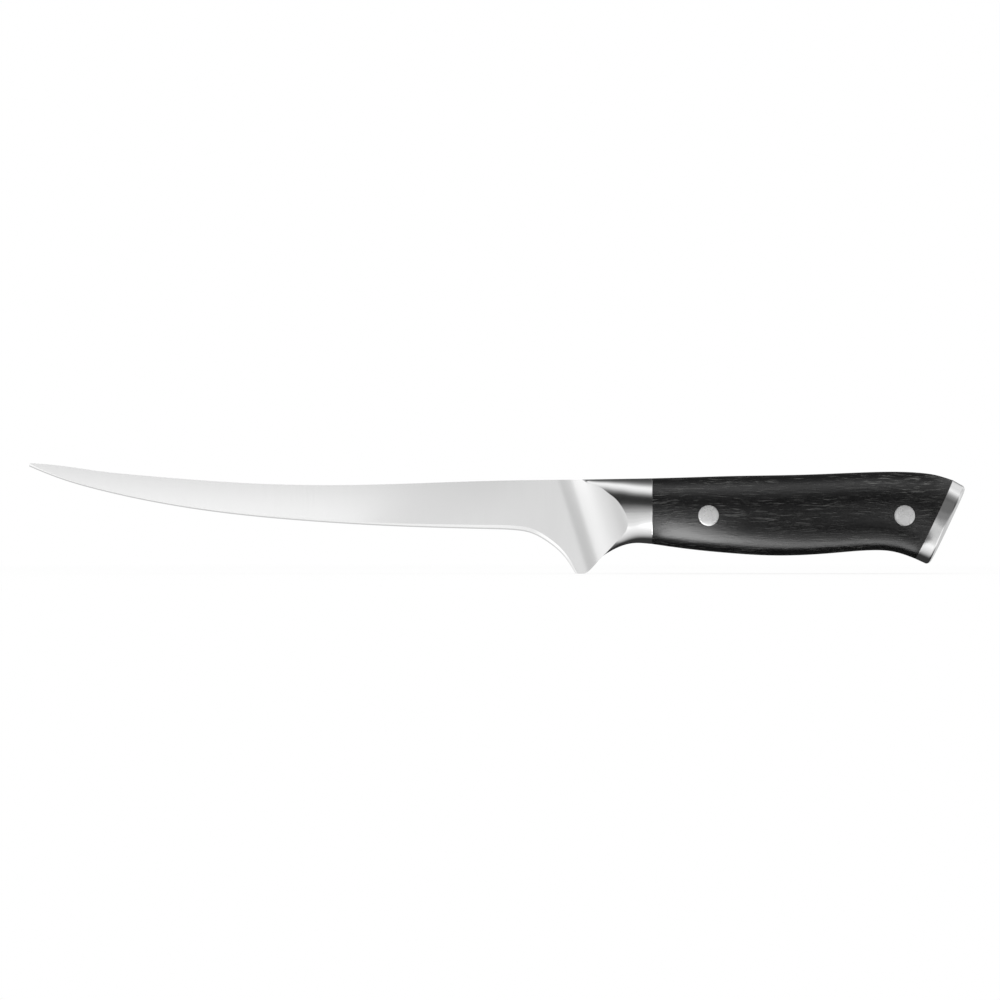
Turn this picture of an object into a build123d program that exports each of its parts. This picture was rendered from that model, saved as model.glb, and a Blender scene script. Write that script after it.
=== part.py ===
from build123d import *
import os
from math import copysign, cos, radians, sin, tan

# Fillet knife: the blade, its bolster and the full tang are one forging. Two wooden
# scales lie on the tang, two rivets of two halves each hold them, and a steel cap
# closes the butt.
# The knife stands on its heel with the spine up and the tip towards -X, so -Y is its
# left side. It is drawn from the bolster's rear face (x = 0), the middle of its
# thickness (y = 0) and the heel's lowest point (z = 0). Lengths are in millimetres
# and angles in degrees.

# Blade
blade_length = 177.8
blade_width = 15.7
heel_depth = 30.7
tip_rise = 5.4
tip_radius = 0.7
spine_thickness = 2.3
tip_thickness = 0.8
heel_thickness = 0.6
bevel_angle = 21.0

# Recurve and heel
recurve_length = 27.6
heel_setback = 1.7
heel_radius = 5.2
heel_turn = 22.0

# Bolster, and the hollow ground into each of its sides
bolster_length = 25.3
plunge_lead = 6.1
plunge_tilt = 17.5
scoop_radius = 34.0
scoop_turn = 60.0

# Handle
scale_length = 97.9
handle_depth = 24.7
handle_thickness = 19.0
crown_flat = 2.4
oval_power = 2.3
tang_thickness = 3.0

# End cap
cap_thickness = 4.9
cap_rake = 25.5
cap_edge_radius = 1.3
tenon_height = 12.0
tenon_depth = 2.5
tenon_clearance = 0.05

# Rivets
front_rivet_inset = 18.1
rear_rivet_inset = 10.5
rivet_drop = 11.7
rivet_head_diameter = 6.7
rivet_head_thickness = 3.0
rivet_tube_diameter = 4.8
rivet_pin_diameter = 3.0
rivet_pin_length = 9.0
rivet_end_gap = 0.3
rivet_clearance = 0.03

# Cuts run this far past what they cut
overrun = 6.0

# How finely the curves that follow a formula are divided
oval_step = 15
rim_step = 15
bevel_steps = 40

# How far the ovals' sides run on along the crowns before they bend, as a share of what
# their points would give
side_pull_share = 0.3

# Blade stations from the recurve's start to the tip: place along that length, rise of
# the spine as a share of the tip's rise, width as a share of the blade's width. The
# last station lies past the tip and only carries the edge's line out of the steel.
blade_station_shares = [
    (0.0, -0.075, 1.0),
    (0.195, -0.254, 0.884),
    (0.41, -0.32, 0.739),
    (0.586, -0.115, 0.643),
    (0.76, 0.265, 0.5),
    (0.847, 0.51, 0.396),
    (0.933, 0.843, 0.272),
    (0.981, 0.971, 0.138),
    (1.03, 1.09, -0.025),
]

# Recurve: place ahead of the heel corner as a share of the recurve's length, and how far
# the edge has come down, as a share of the height it starts from.
recurve_shares = [
    (0.7, 0.025),
    (0.5, 0.1),
    (0.3, 0.315),
    (0.17, 0.52),
    (0.09, 0.7),
    (0.0, 0.97),
    (-0.063, 1.17),
]

# Neck stations from the heel's lowest point to the bolster's rear face: place along that
# length, rise of the underside as a share of its whole rise, half width as a share of
# the bolster's, the flat of the crown as a share of the handle's, and the power of the
# oval's lower half as a share of the upper half's.
neck_station_shares = [
    (0.0, 0.0, 0.36, 2.0, 0.75),
    (0.055, 0.01, 0.4, 1.5, 0.7),
    (0.11, 0.067, 0.455, 1.12, 0.66),
    (0.166, 0.196, 0.51, 1.0, 0.64),
    (0.235, 0.381, 0.555, 1.0, 0.63),
    (0.304, 0.567, 0.585, 1.0, 0.63),
    (0.387, 0.712, 0.61, 1.0, 0.635),
    (0.484, 0.84, 0.665, 1.0, 0.66),
    (0.622, 0.974, 0.735, 1.0, 0.78),
    (0.8, 1.036, 0.87, 1.0, 0.93),
    (0.9, 1.023, 0.937, 1.0, 0.98),
    (1.0, 1.0, 1.0, 1.0, 1.0),
]

# Handle stations from the bolster's rear face to the cap: place along the spine line as
# a share of the scale's length, top above and underside below that line as shares of the
# handle's depth, thickness as a share of the handle's, and lean as a share of the cap's.
handle_station_shares = [
    (0.0, 0.017, 0.85, 0.9, 0.0),
    (0.125, 0.031, 0.918, 0.94, 0.0),
    (0.26, 0.047, 0.97, 0.98, 0.0),
    (0.39, 0.056, 1.0, 1.0, 0.0),
    (0.5, 0.065, 0.995, 1.0, 0.0),
    (0.62, 0.083, 0.968, 0.978, 0.12),
    (0.72, 0.1, 0.953, 0.965, 0.35),
    (0.8, 0.108, 0.966, 0.963, 0.6),
    (0.87, 0.1, 1.001, 0.972, 0.8),
    (0.935, 0.067, 1.064, 0.988, 0.93),
    (1.0, -0.008, 1.154, 1.012, 1.0),
]

# The butt's top, underside and thickness, in the same shares
butt_shares = (-0.02, 1.152, 1.03)

# Places that follow from the sizes
heel_x = -bolster_length
tip_x = heel_x - blade_length
recurve_x = heel_x - recurve_length
neck_x = heel_x + heel_setback
rivet_z = heel_depth - rivet_drop
rivet_seat = handle_thickness / 2 - rivet_head_thickness
front_top_share, front_depth_share, front_width_share = handle_station_shares[0][1:4]
front_top = front_top_share * handle_depth
neck_rise = heel_depth - front_depth_share * handle_depth
front_half_width = front_width_share * handle_thickness / 2


def handle_plane(x, rake=0.0):
    """Place a section across the handle, through x on the spine line, its top leaning
    towards the butt by rake."""
    return Plane((x, 0, heel_depth), x_dir=(0, 1, 0), z_dir=(cos(radians(rake)), 0, -sin(radians(rake))))


# The tenon and both rivets lie on one line along the handle.
cap_face = handle_plane(scale_length, cap_rake)
tenon_face = cap_face.shift_origin(Axis((0, 0, rivet_z), (1, 0, 0)))
rivet_x = {"front": front_rivet_inset, "rear": tenon_face.origin.X - rear_rivet_inset}

# Spine and edge, as points (x, z) of the blade's side view
spine_points = []
edge_points = []
for along_share, rise_share, width_share in blade_station_shares:
    station_x = recurve_x - along_share * (blade_length - recurve_length)
    spine_z = heel_depth + rise_share * tip_rise
    spine_points.append((station_x, spine_z))
    edge_points.append((station_x, spine_z - width_share * blade_width))
recurve_z = edge_points[0][1]
spine_points = spine_points[:-1]
edge_points = edge_points[::-1]
for along_share, drop_share in recurve_shares:
    edge_points.append((heel_x - along_share * recurve_length, recurve_z * (1 - drop_share)))


def half_oval(plane, top, bottom, half_width, half_crown, lower_power=oval_power):
    """Make the right half of a section of the bolster or handle: flat crowns above and
    below, joined by a side that is half a superellipse, with its own power below."""
    middle = (top + bottom) / 2
    half_height = (top - bottom) / 2
    side_points = []
    for angle in range(90, -91, -oval_step):
        power = lower_power if angle < 0 else oval_power
        across = max(cos(radians(angle)), 0) ** (2 / power)
        up = copysign(abs(sin(radians(angle))) ** (2 / power), angle)
        side_points.append((half_crown + (half_width - half_crown) * across, middle + half_height * up))
    with BuildSketch(plane) as section:
        with BuildLine():
            side_pulls = [side_pull_share, side_pull_share]
            Spline(*side_points, tangents=[(1, 0), (-1, 0)], tangent_scalars=side_pulls)
            Polyline((half_crown, bottom), (0, bottom), (0, top), (half_crown, top))
        make_face()
    return section.sketch


def cap_section(depth, inset=0.0):
    """Make half a section of the cap, at a depth behind its seat on the scales."""
    top_share, depth_share, width_share = [
        seat_share + (butt_share - seat_share) * depth / cap_thickness
        for seat_share, butt_share in zip(handle_station_shares[-1][1:4], butt_shares)
    ]
    return half_oval(
        cap_face.offset(depth),
        top_share * handle_depth - inset,
        inset - depth_share * handle_depth,
        width_share * handle_thickness / 2 - inset,
        crown_flat / 2,
    )


# The bolster before it is ground: an oval neck that grows out of the heel
neck_sections = [
    half_oval(
        handle_plane(neck_x * (1 - along_share)),
        along_share * front_top,
        rise_share * neck_rise - heel_depth,
        width_share * front_half_width,
        crown_share * crown_flat / 2,
        power_share * oval_power,
    )
    for along_share, rise_share, width_share, crown_share, power_share in neck_station_shares
]
with BuildPart() as neck_blank:
    loft(neck_sections)
    mirror(about=Plane.XZ)

# The whole handle before it is parted into tang, scales and cap
handle_sections = [
    half_oval(
        handle_plane(along_share * scale_length, rake_share * cap_rake),
        top_share * handle_depth,
        -depth_share * handle_depth,
        width_share * handle_thickness / 2,
        crown_flat / 2,
    )
    for along_share, top_share, depth_share, width_share, rake_share in handle_station_shares
]
handle_sections.append(cap_section(cap_thickness - cap_edge_radius))
with BuildPart() as handle_blank:
    loft(handle_sections)
    mirror(about=Plane.XZ)

# The cap's rounded rim, whose sections follow a quarter circle
rim_sections = [
    cap_section(
        cap_thickness - cap_edge_radius * (1 - sin(radians(angle))),
        cap_edge_radius * (1 - cos(radians(angle))),
    )
    for angle in range(0, 91, rim_step)
]
with BuildPart() as cap_rim:
    loft(rim_sections)
    mirror(about=Plane.XZ)

# Flank of the right side: a plane through the spine at the plunge, the tip and the heel
plunge_top = Vector(heel_x - plunge_lead, spine_thickness / 2, heel_depth)
flank_to_tip = Vector(tip_x, tip_thickness / 2, heel_depth + tip_rise) - plunge_top
flank_to_heel = Vector(heel_x, heel_thickness / 2, 0) - plunge_top
flank_normal = flank_to_heel.cross(flank_to_tip).normalized()
plunge_across = Vector(cos(radians(plunge_tilt)), 0, sin(radians(plunge_tilt)))
plunge_up = plunge_across.cross(flank_normal).normalized()
plunge_plane = Plane(plunge_top, x_dir=flank_normal.cross(plunge_up), z_dir=plunge_up)

# What the grinding takes off both sides: flat over the blade, then curved outwards on
# the scoop's radius into the bolster
with BuildPart() as flank_cutter:
    with BuildSketch(plunge_plane):
        with BuildLine():
            flank_line = Line((-blade_length - overrun, 0), (0, 0))
            scoop_arc = JernArc((0, 0), (1, 0), scoop_radius, scoop_turn)
            scoop_end = scoop_arc @ 1 + (scoop_arc % 1) * handle_thickness
            Polyline(scoop_arc @ 1, scoop_end, (-blade_length - overrun, scoop_end.Y), flank_line @ 0)
        make_face()
    extrude(amount=2 * heel_depth, both=True)
    mirror(about=Plane.XZ)

# What the sharpening takes off below the edge: each side leans inwards by the bevel angle
bevel_reach = spine_thickness / 2
bevel_height = bevel_reach / tan(radians(bevel_angle))
edge_curve = Spline(*edge_points)
lifted_points = []
for step in range(bevel_steps + 1):
    edge_along = edge_curve % (step / bevel_steps)
    inwards = Vector(-edge_along.Y, edge_along.X)
    lifted_points.append(edge_curve @ (step / bevel_steps) + inwards * bevel_height)

with BuildPart() as bevel_cutter:
    for side in (-1, 0, 1):
        with BuildSketch(Plane.XZ.offset(side * bevel_reach)):
            with BuildLine():
                trace = Spline(*(lifted_points if side else edge_points))
                left_corner = ((trace @ 0).X, -overrun)
                right_corner = ((trace @ 1).X, -overrun)
                Polyline(trace @ 1, right_corner, left_corner, trace @ 0)
            make_face()
    loft(ruled=True)

# The part of the handle blank that the tang fills
with BuildPart() as tang_blank:
    add(handle_blank.part)
    split(bisect_by=cap_face, keep=Keep.BOTTOM)
    split(bisect_by=Plane.XZ.offset(tang_thickness / 2), keep=Keep.BOTTOM)
    split(bisect_by=Plane.XZ.offset(-tang_thickness / 2), keep=Keep.TOP)

# The forging: a flat slab under the spine's curve with a rounded heel, joined to the
# neck, then ground, sharpened and given its tang, its tenon and the rivets' holes
spine_points = [(neck_x, heel_depth), *spine_points, (tip_x + tip_radius, heel_depth + tip_rise)]
slab_half = neck_station_shares[0][3] * crown_flat / 2
heel_start = (neck_x - heel_radius * sin(radians(heel_turn)), heel_radius * (1 - cos(radians(heel_turn))))
heel_tangent = (cos(radians(heel_turn)), -sin(radians(heel_turn)))
rivet_axes = [Plane((x, 0, rivet_z), z_dir=(0, 1, 0)) for x in rivet_x.values()]

with BuildPart() as forged_blade:
    with BuildSketch(Plane.XZ):
        with BuildLine():
            spine_curve = Spline(*spine_points)
            tip_arc = JernArc(spine_curve @ 1, spine_curve % 1, tip_radius, 90)
            Polyline(tip_arc @ 1, ((tip_arc @ 1).X, heel_start[1]), heel_start)
            JernArc(heel_start, heel_tangent, heel_radius, heel_turn)
            Line((neck_x, 0), (neck_x, heel_depth))
        make_face()
    extrude(amount=slab_half, both=True)
    add(neck_blank.part)
    add(flank_cutter.part, mode=Mode.SUBTRACT)
    add(bevel_cutter.part, mode=Mode.SUBTRACT)
    add(tang_blank.part)
    with BuildSketch(tenon_face):
        Rectangle(tang_thickness, tenon_height)
    extrude(amount=tenon_depth)
    with Locations(*rivet_axes):
        Hole(rivet_tube_diameter / 2 + rivet_clearance)


def make_scale(outward):
    """Cut a scale from the handle blank: outward is -1 on the left side and 1 on the
    right. Each rivet passes through a hole and seats its head in a counterbore."""
    tang_side = Plane((0, outward * tang_thickness / 2, 0), z_dir=(0, outward, 0))
    rim = handle_thickness / 2 + overrun
    rivet_planes = [Plane((x, outward * rim, rivet_z), z_dir=(0, outward, 0)) for x in rivet_x.values()]
    with BuildPart() as scale:
        add(handle_blank.part)
        split(bisect_by=cap_face, keep=Keep.BOTTOM)
        split(bisect_by=tang_side, keep=Keep.TOP)
        with Locations(*rivet_planes):
            CounterBoreHole(
                rivet_tube_diameter / 2 + rivet_clearance,
                rivet_head_diameter / 2 + rivet_clearance,
                rim - rivet_seat,
            )
    return scale


def make_rivet_half(x, outward, shank_diameter, shank_length, bore_diameter=0.0):
    """Make one half of a rivet at x: a head ground flush with the scale, and a shank
    across the handle. A tube's shank has a blind bore that takes the other half's pin."""
    seat_plane = Plane((x, outward * rivet_seat, rivet_z), z_dir=(0, outward, 0))
    with BuildPart() as half:
        with BuildSketch(seat_plane):
            Circle(rivet_head_diameter / 2)
        extrude(amount=rivet_head_thickness + overrun)
        add(handle_blank.part, mode=Mode.INTERSECT)
        with BuildSketch(seat_plane):
            Circle(shank_diameter / 2)
        extrude(amount=-shank_length)
        if bore_diameter > 0:
            with BuildSketch(seat_plane.offset(-shank_length)):
                Circle(bore_diameter / 2)
            extrude(amount=rivet_pin_length, mode=Mode.SUBTRACT)
    return half


# The cap, with the slot that takes the tang's tenon
with BuildPart() as end_cap:
    add(handle_blank.part)
    split(bisect_by=cap_face, keep=Keep.TOP)
    add(cap_rim.part)
    with BuildSketch(tenon_face):
        Rectangle(tang_thickness + 2 * tenon_clearance, tenon_height + 2 * tenon_clearance)
    extrude(amount=tenon_depth + tenon_clearance, mode=Mode.SUBTRACT)

pieces = {
    "forged_blade": forged_blade,
    "left_scale": make_scale(-1),
    "right_scale": make_scale(1),
    "end_cap": end_cap,
}
tube_length = 2 * rivet_seat - rivet_end_gap
for place, x in rivet_x.items():
    tube = make_rivet_half(x, -1, rivet_tube_diameter, tube_length, rivet_pin_diameter)
    pieces[place + "_rivet_tube"] = tube
    pieces[place + "_rivet_pin"] = make_rivet_half(x, 1, rivet_pin_diameter, rivet_pin_length)

# The knife's own frame has its origin under the middle of its length.
middle_x = (tip_x + end_cap.part.bounding_box().max.X) / 2
os.makedirs("parts", exist_ok=True)
for name, piece in pieces.items():
    piece.part = piece.part.moved(Location((-middle_x, 0, 0)))
    piece.part.label = name
    export_step(piece.part, "parts/" + name + ".step")
    print(name, "volume", round(piece.part.volume, 1), "mm3")
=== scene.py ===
from math import cos, pi, radians, sin, tan

import bmesh
import bpy
import numpy as np
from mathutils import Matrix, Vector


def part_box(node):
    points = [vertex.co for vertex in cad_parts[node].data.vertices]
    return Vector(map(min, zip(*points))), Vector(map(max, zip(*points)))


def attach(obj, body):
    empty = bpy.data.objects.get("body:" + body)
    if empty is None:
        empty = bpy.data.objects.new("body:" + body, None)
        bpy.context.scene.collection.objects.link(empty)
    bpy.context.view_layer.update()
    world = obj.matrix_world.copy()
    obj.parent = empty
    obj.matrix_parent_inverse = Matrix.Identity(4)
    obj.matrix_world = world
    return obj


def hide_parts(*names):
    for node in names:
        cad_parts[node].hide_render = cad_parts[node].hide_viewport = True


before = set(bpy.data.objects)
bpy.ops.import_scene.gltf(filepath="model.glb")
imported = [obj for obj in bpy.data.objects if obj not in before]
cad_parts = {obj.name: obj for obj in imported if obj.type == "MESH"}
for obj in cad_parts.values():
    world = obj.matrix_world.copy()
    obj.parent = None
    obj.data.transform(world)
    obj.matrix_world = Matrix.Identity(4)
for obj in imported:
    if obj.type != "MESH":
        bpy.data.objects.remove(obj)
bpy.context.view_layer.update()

# Fillet knife: satin ground blade, polished bolster and end cap, black laminated scales
# and two rivets. The knife's lengths are in millimetres, drawn from the bolster's rear face
# (x = 0), the middle of the thickness (y = 0) and the heel's lowest point (z = 0), with the
# tip towards -X. They become metres, in the frame's own place, when a piece is made. The
# stage around the knife is written in metres, in the frame's own place.
MM = 0.001
FRAME_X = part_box("left_scale")[0].x

# Blade
BLADE_LENGTH = 177.8
BLADE_WIDTH = 15.7
HEEL_DEPTH = 30.7
TIP_RISE = 5.4
TIP_RADIUS = 0.7
SPINE_THICKNESS = 2.3
TIP_THICKNESS = 0.8
HEEL_THICKNESS = 0.6
BEVEL_ANGLE = radians(21)
EDGE_ANGLE = radians(32)
EDGE_HEIGHT = 0.35
EDGE_HALF = 0.01
FLANK_BULGE = 0.04
BEVEL_LIMIT_SHARE = 0.6

# Recurve and heel
RECURVE_LENGTH = 27.6
HEEL_SETBACK = 1.7
HEEL_RADIUS = 5.2
HEEL_TURN = radians(22)

# Bolster and the hollow ground into its sides
BOLSTER_LENGTH = 25.3
BOLSTER_EASE = 0.25
PLUNGE_LEAD = 6.1
PLUNGE_TILT = radians(17.5)
SCOOP_RADIUS = 34.0
SCOOP_TURN = radians(60)

# Handle and end cap
SCALE_LENGTH = 97.9
HANDLE_DEPTH = 24.7
HANDLE_THICKNESS = 19.0
CROWN_HALF = 1.2
OVAL_POWER = 2.3
TANG_HALF = 1.5
CAP_THICKNESS = 4.9
CAP_RAKE = radians(25.5)
CAP_EDGE_RADIUS = 1.3

# Rivets
FRONT_RIVET_SETBACK = 18.1
REAR_RIVET_LEAD = 10.5
RIVET_DROP = 11.7
HEAD_RADIUS = 3.35
HEAD_DEPTH = 3.0
HEAD_EASE = 0.12
TUBE_RADIUS = 2.4
TUBE_END_GAP = 0.3
PIN_RADIUS = 1.5
PIN_LENGTH = 9.0
RIVET_CLEARANCE = 0.03

# Blade stations from the recurve's start to the tip: place along that length, rise of the
# spine as a share of the tip's rise, width as a share of the blade's width. The last lies
# past the tip and shapes only the edge, which would cross the spine there.
BLADE_STATION_SHARES = [
    (0.0, -0.075, 1.0),
    (0.195, -0.254, 0.884),
    (0.41, -0.32, 0.739),
    (0.586, -0.115, 0.643),
    (0.76, 0.265, 0.5),
    (0.847, 0.51, 0.396),
    (0.933, 0.843, 0.272),
    (0.981, 0.971, 0.138),
    (1.03, 1.09, -0.025),
]

# Recurve: place ahead of the heel corner as a share of the recurve's length, and how far
# the edge has come down to the heel. The last lies behind the corner and below the heel,
# where the corner's arc takes over.
RECURVE_SHARES = [
    (0.7, 0.025),
    (0.5, 0.1),
    (0.3, 0.315),
    (0.17, 0.52),
    (0.09, 0.7),
    (0.0, 0.97),
    (-0.063, 1.17),
]

# Neck stations from the heel's lowest point to the bolster's rear face: place, rise of the
# underside, half width and crown, as shares, and the power of the oval's lower half as a
# share of the upper half's
NECK_STATION_SHARES = [
    (0.0, 0.0, 0.36, 2.0, 0.75),
    (0.055, 0.01, 0.4, 1.5, 0.7),
    (0.11, 0.067, 0.455, 1.12, 0.66),
    (0.166, 0.196, 0.51, 1.0, 0.64),
    (0.235, 0.381, 0.555, 1.0, 0.63),
    (0.304, 0.567, 0.585, 1.0, 0.63),
    (0.387, 0.712, 0.61, 1.0, 0.635),
    (0.484, 0.84, 0.665, 1.0, 0.66),
    (0.622, 0.974, 0.735, 1.0, 0.78),
    (0.8, 1.036, 0.87, 1.0, 0.93),
    (0.9, 1.023, 0.937, 1.0, 0.98),
    (1.0, 1.0, 1.0, 1.0, 1.0),
]

# Handle stations from the bolster's rear face to the cap: place, top above and underside
# below the spine line, thickness and lean, as shares. The butt has its own top, underside
# and thickness.
HANDLE_STATION_SHARES = [
    (0.0, 0.017, 0.85, 0.9, 0.0),
    (0.125, 0.031, 0.918, 0.94, 0.0),
    (0.26, 0.047, 0.97, 0.98, 0.0),
    (0.39, 0.056, 1.0, 1.0, 0.0),
    (0.5, 0.065, 0.995, 1.0, 0.0),
    (0.62, 0.083, 0.968, 0.978, 0.12),
    (0.72, 0.1, 0.953, 0.965, 0.35),
    (0.8, 0.108, 0.966, 0.963, 0.6),
    (0.87, 0.1, 1.001, 0.972, 0.8),
    (0.935, 0.067, 1.064, 0.988, 0.93),
    (1.0, -0.008, 1.154, 1.012, 1.0),
]
BUTT_SHARES = (-0.02, 1.152, 1.03)

# Places that follow from the sizes
HEEL_X = -BOLSTER_LENGTH
TIP_X = HEEL_X - BLADE_LENGTH
TIP_Z = HEEL_DEPTH + TIP_RISE
RECURVE_X = HEEL_X - RECURVE_LENGTH
NECK_X = HEEL_X + HEEL_SETBACK
HEEL_START_X = NECK_X - HEEL_RADIUS * sin(HEEL_TURN)
FRONT_TOP = HANDLE_STATION_SHARES[0][1] * HANDLE_DEPTH
NECK_RISE = HEEL_DEPTH - HANDLE_STATION_SHARES[0][2] * HANDLE_DEPTH
NECK_HALF = HANDLE_STATION_SHARES[0][3] * HANDLE_THICKNESS / 2
RIVET_Z = HEEL_DEPTH - RIVET_DROP
RIVET_SEAT = HANDLE_THICKNESS / 2 - HEAD_DEPTH
TUBE_LENGTH = 2 * RIVET_SEAT - TUBE_END_GAP
REAR_RIVET_X = SCALE_LENGTH + (RIVET_Z - HEEL_DEPTH) * tan(CAP_RAKE) - REAR_RIVET_LEAD
RIVET_X = {"front": FRONT_RIVET_SETBACK, "rear": REAR_RIVET_X}

# How finely the surfaces are divided
CROWN_STEPS = 6
OVAL_STEPS = 60
BEVEL_STEPS = 4
ARC_STEPS = 12
BLADE_STEPS = 150
SCOOP_STEPS = 110
NECK_STEPS = 60
HANDLE_STEPS = 200
CAP_STEPS = 15
HOLE_STEPS = 8
HEAD_STEPS = 9
HEAD_EASE_STEPS = 4
RIVET_TURN_STEPS = 96

# Grid of the blade's side: where its columns start to lean, as a multiple of the plunge's
# lead ahead of the heel, and how far behind the heel corner's start the bevel fades out
LEAN_MULTIPLE = 1.6
LEAN_X = HEEL_X - LEAN_MULTIPLE * PLUNGE_LEAD
FADE_SETBACK = 1.0

# Half side of the window that each rivet has in a scale's grid
WINDOW_HALF = 5.2

# How often a value that is found by repeating or by halving a span is worked out again
GROUND_REPEATS = 8
SHOULDER_REPEATS = 12
LEAN_REPEATS = 24
HALVINGS = 40

# Points closer together than the first are merged, faces thinner than the second are
# removed, and folds sharper than the third stay creases
MERGE_DISTANCE = 0.003
THIN_DISTANCE = 0.001
CREASE_ANGLE = radians(14)


def smooth_curve(knots, values):
    """Natural cubic spline: between two knots a cubic whose slope and bend match its
    neighbours', carried on straight past both ends."""
    knots = np.array(knots, float)
    values = np.array(values, float)
    order = np.argsort(knots)
    knots, values = knots[order], values[order]
    gaps = np.diff(knots)
    slopes = np.diff(values) / gaps
    inner = np.arange(1, len(knots) - 1)
    system = np.eye(len(knots))
    system[inner, inner - 1] = gaps[:-1]
    system[inner, inner] = 2 * (gaps[:-1] + gaps[1:])
    system[inner, inner + 1] = gaps[1:]
    target = np.zeros(len(knots))
    target[1:-1] = 6 * np.diff(slopes)
    bends = np.linalg.solve(system, target)
    first_slope = slopes[0] - gaps[0] * (2 * bends[0] + bends[1]) / 6
    last_slope = slopes[-1] + gaps[-1] * (bends[-2] + 2 * bends[-1]) / 6

    def follow(places):
        """Values of the spline at the given places."""
        places = np.asarray(places, float)
        held = np.clip(places, knots[0], knots[-1])
        span = np.clip(np.searchsorted(knots, held, side="right") - 1, 0, len(gaps) - 1)
        gap = gaps[span]
        ahead = knots[span + 1] - held
        behind = held - knots[span]
        curved = (bends[span] * ahead**3 + bends[span + 1] * behind**3) / (6 * gap)
        curved = curved + (values[span] / gap - bends[span] * gap / 6) * ahead
        curved = curved + (values[span + 1] / gap - bends[span + 1] * gap / 6) * behind
        over = places - held
        return curved + np.where(over < 0, first_slope, last_slope) * over

    return follow


# Side view of the blade: spine and edge
blade_along, blade_rise, blade_width = np.array(BLADE_STATION_SHARES).T
blade_x = RECURVE_X - blade_along * (BLADE_LENGTH - RECURVE_LENGTH)
blade_top = HEEL_DEPTH + blade_rise * TIP_RISE
blade_edge = blade_top - blade_width * BLADE_WIDTH
recurve_along, recurve_drop = np.array(RECURVE_SHARES).T
recurve_x = HEEL_X - recurve_along * RECURVE_LENGTH
recurve_edge = blade_edge[0] * (1 - recurve_drop)
spine_curve = smooth_curve(
    [TIP_X + TIP_RADIUS, *blade_x[:-1], NECK_X], [TIP_Z, *blade_top[:-1], HEEL_DEPTH]
)
edge_curve = smooth_curve([*blade_x, *recurve_x], [*blade_edge, *recurve_edge])

# The neck along x: rise of its underside, half width, half crown and its lower half's power
neck_along, neck_rise, neck_width, neck_crown, neck_power = np.array(NECK_STATION_SHARES).T
neck_stations = NECK_X * (1 - neck_along)
neck_underside = smooth_curve(neck_stations, neck_rise * NECK_RISE)
neck_half = smooth_curve(neck_stations, neck_width * NECK_HALF)
neck_crown_half = smooth_curve(neck_stations, neck_crown * CROWN_HALF)
neck_lower_power = smooth_curve(neck_stations, neck_power * OVAL_POWER)


def top_line(x):
    """Height of the spine: a quarter circle at the tip, the spine's curve, then a straight
    rise along the bolster."""
    back = np.clip(TIP_X + TIP_RADIUS - x, 0, TIP_RADIUS)
    rounded = spine_curve(np.maximum(x, TIP_X + TIP_RADIUS)) - TIP_RADIUS
    rounded = rounded + np.sqrt(TIP_RADIUS**2 - back**2)
    return np.where(x < NECK_X, rounded, HEEL_DEPTH + FRONT_TOP * (1 - x / NECK_X))


def bottom_line(x):
    """Height of the lower outline: the edge down to the heel's rounded corner, then the
    neck's underside."""
    ahead = np.clip(NECK_X - x, 0, HEEL_RADIUS * sin(HEEL_TURN))
    corner = HEEL_RADIUS - np.sqrt(HEEL_RADIUS**2 - ahead**2)
    return np.where(x < NECK_X, np.maximum(edge_curve(x), corner), neck_underside(x))


def unit(vector):
    """Vector of length one."""
    return vector / np.linalg.norm(vector)


# The ground flank is a plane through three points. The scoop is a cylinder that touches it
# along the plunge line.
plunge_top = np.array([HEEL_X - PLUNGE_LEAD, SPINE_THICKNESS / 2, HEEL_DEPTH])
to_tip = np.array([TIP_X, TIP_THICKNESS / 2, TIP_Z]) - plunge_top
to_heel = np.array([HEEL_X, HEEL_THICKNESS / 2, 0]) - plunge_top
flank_normal = unit(np.cross(to_heel, to_tip))
plunge_up = unit(np.cross([cos(PLUNGE_TILT), 0, sin(PLUNGE_TILT)], flank_normal))
plunge_across = np.cross(flank_normal, plunge_up)


def ground_half(x, z):
    """Half thickness left by the grinding at (x, z). Before the plunge line it is the flank's
    plane. Past it the surface stands off that plane by R - sqrt(R^2 - u^2), where u is the
    distance past the line, and then by a tangent. The distance u depends a little on the
    answer, so it is found by repeating."""
    along = x - plunge_top[0]
    down = z - plunge_top[2]
    level = -(along * flank_normal[0] + down * flank_normal[2]) / flank_normal[1]
    half = level
    for _ in range(GROUND_REPEATS):
        past = along * plunge_across[0] + half * plunge_across[1] + down * plunge_across[2]
        past = np.maximum(past, 0)
        turned = np.minimum(past, SCOOP_RADIUS * sin(SCOOP_TURN))
        off = SCOOP_RADIUS - np.sqrt(SCOOP_RADIUS**2 - turned**2)
        off = off + (past - turned) * tan(SCOOP_TURN)
        half = level + off / flank_normal[1]
    return plunge_top[1] + half


def edge_lean(x):
    """Cosine of the edge line's slope at x."""
    step = 0.05
    slope = (edge_curve(x + step) - edge_curve(x - step)) / (2 * step)
    return 1 / np.sqrt(1 + slope**2)


def bevel_half(height):
    """Half thickness at a height above the edge: the cutting edge opens by its own angle and
    the bevel above it by a smaller one."""
    sharp = np.minimum(height, EDGE_HEIGHT)
    return EDGE_HALF + sharp * tan(EDGE_ANGLE) + (height - sharp) * tan(BEVEL_ANGLE)


def blade_half(x, z):
    """Half thickness of the ground side: the lesser of the flank with its scoop and the
    bevel."""
    from_edge = np.maximum(z - edge_curve(x), 0) * edge_lean(x)
    return np.minimum(ground_half(x, z), bevel_half(from_edge))


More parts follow.
